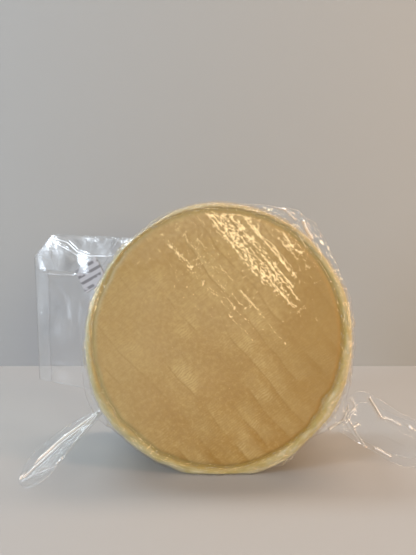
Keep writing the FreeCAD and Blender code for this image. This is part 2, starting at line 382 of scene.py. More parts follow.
# folds pressed into the seam, by their place across and up: a line, a rise and a width
SEAM_FOLDS = (
    (((46, 130.3), (47, 127), (50.6, 121.3)), 3.6, 1.1),
    (((28, 139), (36, 136.5), (42, 131)), 1.0, 0.6),
    (((74, 31), (73.3, 24), (71, 18), (63.5, 13.5)), 1.3, 0.6),
    (((63.2, 13.5), (63.4, 7.5)), 1.0, 0.6),
    (((72, 86), (74.0, 60), (74.6, 36), (74.8, 18)), 1.2, 0.6),
    (((73.4, 18), (66, 9)), 1.0, 0.7),
    (((-76, 39), (-75.3, 34), (-73.2, 29), (-71, 24), (-69.6, 20)), 1.0, 0.5),
    (((-69, 19), (-61, 12.5), (-53, 6.5), (-46, 2.5)), 0.9, 0.6),
    (((-70, 19), (-66, 24), (-64, 32)), 0.8, 0.6),
)


def press(across, along, folds, crisp):
    """The height of folds along their lines, and how creased the film is on them, 0 to 1."""
    height = np.zeros(np.shape(across))
    creased = np.zeros(np.shape(across))
    for line, rise, width in folds:
        gap = near_line(across, along, line)
        height += rise * np.exp(-((gap / width) ** 2))
        sharp = np.exp(-((gap / (crisp + 0.12 * rise)) ** 2))
        creased = np.maximum(creased, min(1.0, rise / 2) * sharp)
    return height, creased


def seam():
    """The bag's seam: two arcs of doubled film that stand out of the rim, puckered."""
    sheets, creased, edges = [], [], []
    for number, seam_line in enumerate((SEAM_RIGHT, SEAM_LEFT)):
        turn_at, reach_at = np.array(seam_line).transpose()
        first, last = turn_at[0], turn_at[-1]
        turns = np.linspace(first, last, int((last - first) / SEAM_STEP))
        reach = soften(np.interp(turns, turn_at, reach_at), 4)
        spokes = np.radians(turns)
        shares = np.linspace(0, 1, SEAM_ROWS)
        points = np.array([rim_point(spokes, -1.2 + (reach + 1.2) * at) for at in shares])
        share = shares[:, None]
        ragged = ripple(points, 5.0, 31 + number) * (0.5 + 0.9 * swell(spokes, RAGGED_TURNS))
        ragged = ragged * share * np.clip(reach / 8, 0, 1)
        points += ragged[..., None] * spoke_at(spokes)
        crest = swell(spokes, CRUMPLED_TURNS)
        wave = ripple(points, 14.0, 33 + number) * 1.8
        pucker = (creases(points, 4.5, 35 + number) - 0.4) * (0.45 + 0.3 * crest)
        crumple = (creases(points, 2.4, 37) - 0.4) * crest
        pressed, lines = press(points[..., 0], points[..., 2], SEAM_FOLDS, 0.45)
        swing = wave + pucker + crumple + knot_folds(points) * 1.6
        points[..., 1] += share * swing - pressed
        points = stand_on_floor(points, SEAM_FOOT)
        gathered = np.clip(np.abs(knot_folds(points)) * 1.2 - 0.25, 0, 0.35)
        sheets.append(lattice(points))
        creased.append(np.maximum(lines, gathered + 0 * lines))
        edges.append(points[-1])
    return make_piece("film_seam", sheets, FILM, creased), edges


def ear(name, spec, seed):
    """One gathered corner of the bag: thin sheets that fan out from its knot in crisp folds."""
    turn, stand_off = spec["knot"]
    start = rim_point(math.radians(turn), stand_off)
    dip = math.asin((start[2] - spec["end_up"]) / spec["long"])
    yaw = Matrix.Rotation(math.radians(spec["yaw"]), 3, "Z")
    pitch = Matrix.Rotation(dip, 3, "Y")
    roll = Matrix.Rotation(math.radians(spec["roll"]), 3, "X")
    turned = np.array(yaw @ pitch @ roll)
    sheets, creased, edges = [], [], []
    for layer, stations in enumerate(spec["sheets"]):
        reach, low, high = np.array(stations, float).transpose()
        along = np.linspace(reach[0], reach[-1], EAR_ROWS)[:, None]
        share = (along - reach[0]) / (reach[-1] - reach[0])
        fan = np.linspace(0, 1, EAR_LANES)[None, :]
        low_at = soften(np.interp(along[:, 0], reach, low), 3)
        high_at = soften(np.interp(along[:, 0], reach, high), 3)
        across = low_at[:, None] * (1 - fan) + high_at[:, None] * fan
        along = np.broadcast_to(along, across.shape)
        lanes = np.stack([fan * 22 + 0 * across, along * 0.03, 0 * across + layer], -1)
        gathers = creases(lanes, 2.2, seed + layer) - 0.45
        at, rise = np.array(spec["pleats"][layer]).transpose()
        height = np.interp(fan, at, rise) * np.clip(share * 1.6, 0, 1)
        height = height + gathers * spec["gather"] * np.exp(-share * 5)
        place = np.stack([along, across, 0 * across], -1)
        height = height + ripple(place, 18.0, seed + 9 + layer) * spec["wave"] * share
        lines = [([(y, x) for x, y in line], up, wide) for line, up, wide in spec["folds"][layer]]
        pressed, whitened = press(across, along, lines, 0.38)
        drawn = np.clip(gathers - 0.2, 0, 1) * np.exp(-share * 6) * 0.6
        height = height + pressed - layer * 1.6 * share
        points = np.stack([along, across, height], -1) @ turned.transpose() + start
        points = stand_on_floor(points, EAR_FOOT)
        sheets.append(lattice(points))
        creased.append(np.maximum(whitened, drawn))
        edges += [points[:, 0], points[:, -1], points[-1]]
    return make_piece(name, sheets, FILM, creased), edges


# each ear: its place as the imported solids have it; its sheets as stations of reach, low edge
# and high edge; its pleats as shares across and heights; its folds as a line of reach and side,
# a rise and a width
LEFT_EAR = {
    "knot": KNOTS[0], "long": 46.0, "yaw": 221.7, "end_up": 3.7, "roll": 5.0,
    "gather": 0.3, "wave": 0.45,
    "sheets": (
        (
            (-1, -1.5, 1.5), (2, -1.6, 2), (12, -1.8, 6), (27, -1.6, 12.5), (35, 0, 17.5),
            (38, 0.5, 18.5), (55, 6.5, 8.5),
        ),
        (
            (0, -4, 1), (3, -9, 3), (12, -13, 6), (21, -14.6, 9), (36.5, -14.4, 15.5),
            (45.4, -9.3, 18.5), (52, -2, 17.5), (56, 6, 12),
        ),
    ),
    "pleats": (
        ((0, 0.0), (0.16, 0.25), (0.42, -0.15), (0.72, 0.25), (1, -0.1)),
        ((0, -0.3), (0.3, 0.4), (0.62, -0.3), (1, 0.4)),
    ),
    "folds": (
        (
            (((0, -1), (26, -1.2), (47, 2.4), (54, 6.6)), 1.9, 0.8),
            (((0, 0.5), (28, 1.6), (52.5, 7)), 1.3, 0.7),
            (((1, 1), (17.4, 7.6), (34, 16.5)), 1.4, 0.8),
            (((34, 15), (37.5, 18)), 1.8, 1.4),
            (((3, 0.6), (20, 3.5), (40, 9)), 0.5, 0.8),
            (((38, 17.6), (46, 13), (54, 8.8)), 0.9, 1.2),
        ),
        (
            (((2, -8), (20, -13), (37, -12.8), (46, -7)), 0.3, 1.1),
            (((3, -4), (28, -8), (48, 2)), 0.4, 1.0),
            (((38, 16), (47, 14.5), (52, 9)), 0.5, 1.2),
        ),
    ),
}
RIGHT_EAR = {
    "knot": KNOTS[1], "long": 45.0, "yaw": -17.5, "end_up": 13.6, "roll": 56.0,
    "gather": 0.6, "wave": 0.8,
    "sheets": (
        (
            (-1, -7, 12), (3, -8, 15), (6, -9.5, 18), (11.6, -11.4, 18), (18.6, -13.2, 15.4),
            (29, -17.2, 10.7), (36, -17.8, 8.5), (44, -16.6, 6), (49, -10, 3),
        ),
        ((0, -5, 9), (4, -6, 11), (14, -9, 13), (26, -12, 9), (38, -13, 7), (47, -8, 2)),
    ),
    "pleats": (
        ((0, 0.5), (0.22, -0.9), (0.48, 0.8), (0.66, -0.5), (1, 1.0)),
        ((0, 0), (0.4, 1.0), (0.7, -0.7), (1, 0.3)),
    ),
    "folds": (
        (
            (((13, 14.6), (17, 10), (20.6, 5.4)), 2.4, 0.9),
            (((20.6, 5.4), (26, 5.2), (30.5, 3.7)), 1.4, 0.8),
            (((36, 3.6), (37, 2.6)), 2.4, 1.2),
            (((20, -12), (28, -14.4)), 1.5, 0.7),
            (((3, 1), (9, -6), (14.4, -11.8)), 0.9, 0.7),
            (((1, 0), (7, -6.5), (12.5, -11.5)), 0.7, 0.7),
            (((3, 12), (6, 9), (4, 5)), 0.9, 0.8),
            (((35, -9.2), (42, -15.1)), 0.4, 1.4),
            (((4, 3), (16, -2), (34, -6)), 0.4, 1.2),
            (((7, -3), (9, -1)), 1.6, 0.8),
        ),
        ((((2, 5), (18, 4), (40, -3)), 0.3, 1.2), (((2, -2), (20, -7), (36, -9)), 0.3, 1.0)),
    ),
}


def flap_point(out, up, lift):
    """A point by its place along the flap's plane, up it and in front of it."""
    x = FLAP_ROOT[0] + out * math.cos(FLAP_YAW) - lift * math.sin(FLAP_YAW)
    y = FLAP_ROOT[1] + out * math.sin(FLAP_YAW) + lift * math.cos(FLAP_YAW)
    return np.stack([x, y, up], axis=-1)


# folds pressed into the flap's film, by their place out along it and up it: a line, rise, width
FLAP_FOLDS = (
    (((92, 117), (78, 114.5), (70, 109), (60, 106.6), (43, 107.6)), 1.1, 0.7),
    (((88, 113.5), (76, 109), (64, 104)), 0.8, 0.8),
    (((37, 120), (40, 115.5), (45, 108), (50, 102)), 0.8, 0.8),
    (((58, 105), (54, 100)), 0.6, 0.8),
    (((98, 93), (73, 94)), 0.8, 0.8),
    (((90, 86), (82, 77), (80, 66)), 0.35, 2.6),
    (((98, 33), (78, 34)), 0.3, 1.2),
    (((66, 92), (72, 70), (70, 48)), 0.25, 1.8),
)


def flap_patch(out_from, out_to, up_from, up_to, lift, soft, folds):
    """A patch of the flap's film, softly waved, creased and with its free corner folded over."""
    outs = np.linspace(out_from, out_to, int((out_to - out_from) / FLAP_STEP))
    ups = np.linspace(up_from, up_to, int((up_to - up_from) / FLAP_STEP))
    out, up = np.meshgrid(outs, ups)
    flat = np.stack([out, up, np.zeros_like(out)], axis=-1)
    waves = ripple(flat, 30.0, 51) * 1.5 * soft + ripple(flat, 12.0, 52) * 0.35 * soft
    pressed, creased = press(out, up, folds, 0.5)
    cloudy = 0.8 + ripple(flat, 16.0, 53) * 0.35
    creased = np.maximum(creased, 0.27 * cloudy * soft)
    held = smooth_step(FLAP_LONG - out, 0, 6)
    height = lift + waves * held + pressed
    over = np.clip(out + up - (FLAP_LONG + FLAP_HEAD - CORNER_FOLD), 0, None)
    height = height + smooth_step(over, 0, 1.2)
    return flap_point(out - over, up - over, height), creased


def mouth_flap():
    """The bag's mouth behind the wheel: its sheet, the folded hem and the side seal."""
    seal = FLAP_LONG - SIDE_SEAL
    hem = FLAP_HEAD - HEM
    patches = [
        flap_patch(FLAP_START, FLAP_LONG + 1.5, FLAP_FOOT - 1, FLAP_HEAD, 0.0, 1.0, FLAP_FOLDS),
        flap_patch(FLAP_START, FLAP_LONG, hem, FLAP_HEAD - 0.5, 0.9, 1.3, ()),
        flap_patch(seal, FLAP_LONG, FLAP_FOOT, hem, 0.8, 1.0, ()),
    ]
    sheet, folded_hem, side_seal = [points for points, _ in patches]
    edges = [sheet[0], sheet[:, -1], sheet[-1], folded_hem[0], side_seal[:, 0]]
    sheets = [lattice(points) for points, _ in patches]
    return make_piece("mouth_flap", sheets, FILM, [creased for _, creased in patches]), edges


def bead_tree():
    """A Geometry Nodes tree that runs a thin round bead, uneven as melted film, along lines."""
    tree = bpy.data.node_groups.new("melted film edge", "GeometryNodeTree")
    sockets = {}
    tree.interface.new_socket("Geometry", in_out="INPUT", socket_type="NodeSocketGeometry")
    kinds = {"Radius": "Float", "Unevenness": "Float", "Sides": "Int", "Material": "Material"}
    for title, kind in kinds.items():
        made = tree.interface.new_socket(title, in_out="INPUT", socket_type="NodeSocket" + kind)
        sockets[title] = made.identifier
    tree.interface.new_socket("Geometry", in_out="OUTPUT", socket_type="NodeSocketGeometry")
    given = tree.nodes.new("NodeGroupInput").outputs
    line = add(tree, "GeometryNodeMeshToCurve", Mesh=given["Geometry"])
    luck = noise_of(tree, None, 260.0, 2.0)
    thin = add(
        tree, "ShaderNodeMapRange", Value=luck, From_Min=0.35, From_Max=0.65,
        To_Min=maths(tree, "SUBTRACT", 1.0, given["Unevenness"]),
        To_Max=maths(tree, "ADD", 1.0, given["Unevenness"]),
    )
    sized = add(
        tree, "GeometryNodeSetCurveRadius", Curve=line.outputs["Curve"], Radius=thin.outputs["Result"]
    )
    ring = add(
        tree, "GeometryNodeCurvePrimitiveCircle", Resolution=given["Sides"], Radius=given["Radius"]
    )
    tube = add(
        tree, "GeometryNodeCurveToMesh", Curve=sized.outputs["Curve"],
        Profile_Curve=ring.outputs["Curve"], Fill_Caps=True,
    )
    real = add(tree, "GeometryNodeRealizeInstances", Geometry=tube.outputs["Mesh"])
    dressed = add(
        tree, "GeometryNodeSetMaterial", Geometry=real.outputs["Geometry"], Material=given["Material"]
    )
    add(tree, "NodeGroupOutput", Geometry=dressed.outputs["Geometry"])
    return tree, sockets


def film_edges(lines, material):
    """The melted edges of the loose film, a bead along each line."""
    verts, edges = [], []
    for line in lines:
        base = len(verts)
        verts += [Vector(p) * MM for p in line]
        edges += [(base + i, base + i + 1) for i in range(len(line) - 1)]
    mesh = bpy.data.meshes.new("film_edges")
    mesh.from_pydata(verts, edges, [])
    piece = new_object("film_edges", mesh)
    tree, sockets = bead_tree()
    bead = piece.modifiers.new("bead", "NODES")
    bead.node_group = tree
    bead[sockets["Radius"]] = EDGE_RADIUS * MM
    bead[sockets["Unevenness"]] = 0.8
    bead[sockets["Sides"]] = 6
    bead[sockets["Material"]] = material
    finish_modifiers(piece)
    piece.data.shade_smooth()
    return piece


# -------- materials


def feed(tree, socket, value):
    """Link a socket to another node's output, or set it to a value."""
    if isinstance(value, bpy.types.NodeSocket):
        tree.links.new(value, socket)
    elif value is not None:
        socket.default_value = value


def add(tree, kind, settings=None, **inputs):
    """A node with its settings and inputs. An underscore in an input's name is a space."""
    made = tree.nodes.new(kind)
    for name, value in (settings or {}).items():
        setattr(made, name, value)
    for name, value in inputs.items():
        feed(tree, made.inputs[name.replace("_", " ")], value)
    return made


def maths(tree, operation, *values, clamp=False):
    """One step of arithmetic on numbers or outputs."""
    made = add(tree, "ShaderNodeMath", {"operation": operation, "use_clamp": clamp})
    for socket, value in zip(made.inputs, values):
        feed(tree, socket, value)
    return made.outputs[0]


def times(tree, first, second):
    """The product of two numbers or outputs."""
    return maths(tree, "MULTIPLY", first, second)


def blend(tree, share, first, second):
    """Two colours mixed by a share."""
    made = add(tree, "ShaderNodeMix", {"data_type": "RGBA"}, Factor=share, A=first, B=second)
    return made.outputs["Result"]


def spread(tree, value, low, high, to_low=0.0, to_high=1.0):
    """A number moved from one range to another, smoothly and clamped."""
    made = add(
        tree, "ShaderNodeMapRange", {"interpolation_type": "SMOOTHSTEP"},
        Value=value, From_Min=low, From_Max=high, To_Min=to_low, To_Max=to_high,
    )
    return made.outputs["Result"]


def vector_maths(tree, operation, *values, scale=None):
    """One step of arithmetic on vectors."""
    made = add(tree, "ShaderNodeVectorMath", {"operation": operation})
    for socket, value in zip(made.inputs, values):
        feed(tree, socket, value)
    if scale is not None:
        feed(tree, made.inputs["Scale"], scale)
    return made.outputs["Value" if operation == "LENGTH" else "Vector"]


def object_place(tree, centre=(0, 0, 0), turn=(0, 0, 0), scale=(1, 1, 1)):
    """Object coordinates, moved so that a centre is their origin, then turned and scaled."""
    place = add(tree, "ShaderNodeTexCoord").outputs["Object"]
    moved = vector_maths(tree, "SUBTRACT", place, [c * MM for c in centre])
    turned = add(tree, "ShaderNodeMapping", Vector=moved, Rotation=turn).outputs["Vector"]
    return place_by(tree, turned, scale)


def place_by(tree, vector, scale):
    """A vector with each of its parts scaled."""
    return add(tree, "ShaderNodeMapping", Vector=vector, Scale=scale).outputs["Vector"]


def parts_of(tree, vector):
    """A vector's X, Y and Z."""
    return add(tree, "ShaderNodeSeparateXYZ", Vector=vector).outputs


def mesh_mark(tree, name):
    """A number that the piece's mesh keeps as an attribute."""
    return add(tree, "ShaderNodeAttribute", {"attribute_name": name}).outputs["Fac"]


def two_shaders(tree, share, first, second):
    """Two surfaces mixed by a share."""
    made = add(tree, "ShaderNodeMixShader", Fac=share)
    feed(tree, made.inputs[1], first)
    feed(tree, made.inputs[2], second)
    return made.outputs[0]


def round_the_wheel(tree):
    """Place round the rim, outward and through it. Its one seam is under the wheel."""
    parts = parts_of(tree, object_place(tree, (0, 0, CENTRE_UP)))
    turn = maths(tree, "ARCTAN2", parts["X"], parts["Z"])
    across = times(tree, parts["X"], parts["X"])
    reach = maths(tree, "SQRT", maths(tree, "MULTIPLY_ADD", parts["Z"], parts["Z"], across))
    arc = times(tree, turn, HALF_WIDE * MM)
    return add(tree, "ShaderNodeCombineXYZ", X=arc, Y=reach, Z=parts["Y"]).outputs["Vector"]


def noise_of(tree, vector, scale, detail=2.0, rough=0.5, twist=0.0):
    """Fine-grained noise from 0 to 1 in a vector's own lengths."""
    made = add(
        tree, "ShaderNodeTexNoise", Vector=vector, Scale=scale, Detail=detail,
        Roughness=rough, Distortion=twist,
    )
    return made.outputs["Fac"]


def new_material(name):
    """An empty node material and its tree."""
    material = bpy.data.materials.new(name)
    material.use_nodes = True
    tree = material.node_tree
    tree.nodes.clear()
    return material, tree


def finish_material(tree, surface):
    """Give a material its surface."""
    add(tree, "ShaderNodeOutputMaterial", Surface=surface)


def new_group(name, inputs, outputs):
    """A node group that turns a vector and some numbers into numbers, and its inputs."""
    group = bpy.data.node_groups.new(name, "ShaderNodeTree")
    group.interface.new_socket("Vector", in_out="INPUT", socket_type="NodeSocketVector")
    for title, value in inputs.items():
        socket = group.interface.new_socket(title, in_out="INPUT", socket_type="NodeSocketFloat")
        socket.default_value = value
    for title in outputs:
        group.interface.new_socket(title, in_out="OUTPUT", socket_type="NodeSocketFloat")
    return group, group.nodes.new("NodeGroupInput").outputs


def strip_group():
    """Strips that fall across the face, and the fine ladder of cross lines on them."""
    group, given = new_group(
        "strips and ladders", {"Strip Width": STRIP_WIDTH, "Rung": RUNG},
        ("Strips", "Ladders", "Lines", "Hatch"),
    )
    place = given["Vector"]
    parts = parts_of(group, place)
    sway = noise_of(group, place, 28.0, 2.0)
    across = maths(group, "ADD", parts["Z"], times(group, sway, 0.009))
    saw = maths(group, "FRACT", maths(group, "DIVIDE", across, given["Strip Width"]))
    rise = spread(group, saw, 0.0, 0.12)
    fall = spread(group, saw, 0.5, 0.95, 1.0, 0.0)
    broken = spread(group, noise_of(group, place, 45.0, 1.0), 0.36, 0.62)
    strips = times(group, times(group, rise, fall), broken)
    rung_sway = times(group, noise_of(group, place, 160.0, 2.0), 0.003)
    rung = maths(group, "DIVIDE", maths(group, "ADD", parts["X"], rung_sway), given["Rung"])
    teeth = maths(group, "ABSOLUTE", maths(group, "SINE", times(group, rung, math.pi)))
    patch = spread(group, noise_of(group, place, 70.0, 2.0), 0.45, 0.7)
    from_line = maths(group, "ABSOLUTE", maths(group, "SUBTRACT", saw, 0.02))
    line = spread(group, from_line, 0.0, 0.07, 1.0, 0.0)
    hatched = spread(group, noise_of(group, place, 55.0, 2.0), 0.38, 0.62)
    ladders = times(group, times(group, teeth, strips), patch)
    add(
        group, "NodeGroupOutput", Strips=strips, Ladders=ladders, Lines=times(group, line, broken),
        Hatch=times(group, teeth, hatched),
    )
    return group


def crease_group():
    """Long creases and small dimples of tight film, as a height from 0 to about 1."""
    group, given = new_group(
        "film creases", {"Long Scale": 300.0, "Fine Scale": 1400.0, "Fine Share": 0.3}, ("Height",)
    )
    waves = noise_of(group, given["Vector"], given["Long Scale"], 2.0, 0.55, 0.3)
    slope = times(group, maths(group, "SUBTRACT", waves, 0.5), 4.0)
    ridges = maths(group, "SUBTRACT", 1.0, maths(group, "ABSOLUTE", slope), clamp=True)
    fine = noise_of(group, given["Vector"], given["Fine Scale"], 1.0)
    height = maths(group, "ADD", ridges, times(group, fine, given["Fine Share"]))
    add(group, "NodeGroupOutput", Height=height)
    return group


def use_group(tree, group, **inputs):
    """A group placed in a tree with its own values."""
    return add(tree, "ShaderNodeGroup", {"node_tree": group}, **inputs).outputs


STRIPS = strip_group()
CREASES = crease_group()
FACE_MIDDLE = (FACE_SIDE, 0.0, CENTRE_UP + FACE_RISE)

# the face's colours: pairs go from dark blotches to pale ones
FACE_HIGH = ((0.465, 0.33, 0.142, 1), (0.49, 0.36, 0.170, 1))
FACE_LOW = ((0.335, 0.187, 0.028, 1), (0.385, 0.228, 0.046, 1))
STRIP, LADDER = (0.52, 0.40, 0.18, 1), (0.66, 0.53, 0.27, 1)
HATCH, LINE = (0.64, 0.50, 0.22, 1), (0.28, 0.17, 0.04, 1)
DARK_MOTTLE, PALE_MOTTLE, GRAIN = (0.30, 0.18, 0.05, 1), (0.62, 0.49, 0.22, 1), (0.64, 0.52, 0.27, 1)
BOTH_SIDES, RIGHT_SIDE = (0.40, 0.275, 0.10, 1), (0.33, 0.205, 0.05, 1)

# the rim's, groove's and barrel's colours: the first three pairs go from upper left to lower right
RIM_GOLD = ((0.40, 0.345, 0.17, 1), (0.43, 0.34, 0.11, 1))
RIM_CREAM = ((0.52, 0.47, 0.31, 1), (0.54, 0.495, 0.34, 1))
GROOVE = ((0.35, 0.28, 0.11, 1), (0.30, 0.20, 0.018, 1))
BARREL = ((0.44, 0.30, 0.12, 1), (0.56, 0.42, 0.22, 1))
RIM_FLECK, BARREL_FLECK = (0.70, 0.63, 0.42, 1), (0.64, 0.52, 0.31, 1)
# painted shade: a darker colour laid over the top of the rim
RIM_TOP_PAINTED_SHADE = (0.34, 0.265, 0.125, 1)

# the film's mirroring seen face on, and how solid, rough and pale a crease in it is
FACE_ON = 0.04
CREASE_SOLID, CREASE_ROUGH = 0.62, 0.42
GLOSS = (0.94, 0.92, 0.90, 1)

# the glare on the film: its middle, its reach in metres, how sharp its scraps' edges are, and
# the way that the lifted scraps face
GLARE_MIDDLE, GLARE_WIDE, GLARE_TALL = (12.0, 0.0, 117.0), 0.034, 0.025
SCRAP_EDGE = 60.0
LIFTED_FACING, LIFTED_BULGE = (0.20, -1.0, 0.18), (-2.0, 0.0, -2.0)

# what makes the film's torn scraps: how far each noise is drawn out along the strips, its scale,
# detail and roughness, and its share
TORN = (
    (0.018, 230.0, 1.0, 0.5, 0.27), (0.03, 900.0, 1.0, 0.5, 0.18),
    (0.5, 1150.0, 3.0, 0.75, 0.37), (1.0, 380.0, 2.0, 0.6, 0.18),
)


def cheese_material():
    """Tan-gold cheese: paler strips on its face, a dark golden groove, a pale rim with painted shade
    at its top and a rind.
    """
    material, tree = new_material("goat_cheese_rind")
    place = object_place(tree)
    on_face = object_place(tree, FACE_MIDDLE, (0, -STRIP_FALL, 0))
    marks = use_group(tree, STRIPS, Vector=on_face)
    parts = parts_of(tree, place)
    fall = maths(tree, "MULTIPLY_ADD", parts["X"], -0.8, parts["Z"])
    low = spread(tree, fall, -0.01, 0.110, 1.0, 0.0)
    blotch = noise_of(tree, place, 40.0, 3.0, 0.6)
    mottle = noise_of(tree, on_face, 420.0, 3.0, 0.7)
    grain = noise_of(tree, place, 900.0, 2.0)
    blotched = spread(tree, blotch, 0.3, 0.7)
    flesh = blend(tree, low, blend(tree, blotched, *FACE_HIGH), blend(tree, blotched, *FACE_LOW))
    shown = maths(tree, "MULTIPLY_ADD", low, 0.24, 0.16)
    for share, colour in (
        (times(tree, marks["Strips"], shown), STRIP),
        (times(tree, marks["Ladders"], 0.5), LADDER),
        (times(tree, marks["Hatch"], 0.22), HATCH),
        (times(tree, marks["Lines"], 0.30), LINE),
        (spread(tree, mottle, 0.35, 0.6, 0.22, 0.0), DARK_MOTTLE),
        (spread(tree, mottle, 0.5, 0.7, 0.0, 0.24), PALE_MOTTLE),
        (spread(tree, grain, 0.58, 0.8, 0.0, 0.30), GRAIN),
        (spread(tree, maths(tree, "ABSOLUTE", parts["X"]), 0.015, 0.06, 0.0, 0.4), BOTH_SIDES),
        (spread(tree, parts["X"], 0.02, 0.06, 0.0, 0.45), RIGHT_SIDE),
    ):
        flesh = blend(tree, share, flesh, colour)
    rim, groove, band = [mesh_mark(tree, name) for name in ("rim", "groove", "band")]
    lower_right = spread(tree, maths(tree, "SUBTRACT", parts["Z"], parts["X"]), -0.02, 0.11, 1.0, 0.0)
    streaks = noise_of(tree, place_by(tree, round_the_wheel(tree), (0.3, 1.0, 1.0)), 420.0, 3.0, 0.6)
    ring = maths(tree, "MULTIPLY_ADD", streaks, 1.5, maths(tree, "MULTIPLY_ADD", band, 0.55, -0.85))
    gold = blend(tree, lower_right, *RIM_GOLD)
    cream = blend(tree, lower_right, *RIM_CREAM)
    pale = blend(tree, spread(tree, ring, -0.2, 0.6), gold, cream)
    pale = blend(tree, spread(tree, streaks, 0.60, 0.74, 0.0, 0.5), pale, RIM_FLECK)
    # painted shade: the rim is coloured darker towards the top of the wheel
    pale = blend(tree, spread(tree, parts["Z"], 0.105, 0.136, 0.0, 0.85), pale, RIM_TOP_PAINTED_SHADE)
    patches = noise_of(tree, place, 55.0, 4.0, 0.65)
    barrel = blend(tree, spread(tree, patches, 0.38, 0.62), *BARREL)
    barrel = blend(tree, spread(tree, mottle, 0.45, 0.7, 0.0, 0.4), barrel, BARREL_FLECK)
    pale = blend(tree, spread(tree, parts["Y"], -0.027, -0.018, 0.0, 0.8), pale, barrel)
    colour = blend(tree, rim, flesh, pale)
    sunk = blend(tree, lower_right, *GROOVE)
    colour = blend(tree, times(tree, groove, 0.8), colour, sunk)
    relief = times(tree, maths(tree, "ADD", marks["Ladders"], grain), 0.5)
    bump = add(tree, "ShaderNodeBump", Strength=0.5, Distance=0.0003, Height=relief)
    skin = add(
        tree, "ShaderNodeBsdfPrincipled", Base_Color=colour,
        Roughness=spread(tree, blotch, 0.3, 0.7, 0.42, 0.56), Normal=bump.outputs["Normal"],
        Subsurface_Weight=0.2, Subsurface_Radius=(1.0, 0.8, 0.5), Subsurface_Scale=0.004,
        Specular_IOR_Level=0.3,
    )
    finish_material(tree, skin.outputs[0])
    return material


def film_material(material, height, distance, tint, faces, rough, normal=None):
    """Clear film: it lets light through and mirrors by its angle, and is whitened on creases."""
    tree = material.node_tree
    bump = add(tree, "ShaderNodeBump", Strength=1.0, Distance=distance, Height=height, Normal=normal)
    weight = add(tree, "ShaderNodeLayerWeight", Blend=0.5, Normal=bump.outputs["Normal"])
    edge_on = maths(tree, "POWER", weight.outputs["Facing"], 5.0)
    share = maths(tree, "MULTIPLY_ADD", edge_on, 1 - FACE_ON, FACE_ON)
    share = maths(tree, "MULTIPLY", share, faces, clamp=True)
    creased = mesh_mark(tree, "crease")
    share = maths(tree, "MAXIMUM", share, times(tree, creased, CREASE_SOLID))
    shadow = add(tree, "ShaderNodeLightPath").outputs["Is Shadow Ray"]
    share = times(tree, share, maths(tree, "SUBTRACT", 1.0, shadow))
    clear = add(tree, "ShaderNodeBsdfTransparent", Color=tint)
    gloss = add(
        tree, "ShaderNodeBsdfPrincipled", Base_Color=GLOSS, Metallic=0.9,
        Roughness=spread(tree, creased, 0.1, 0.5, rough, CREASE_ROUGH),
        Normal=bump.outputs["Normal"],
    )
    finish_material(tree, two_shaders(tree, share, clear.outputs[0], gloss.outputs[0]))
    return material


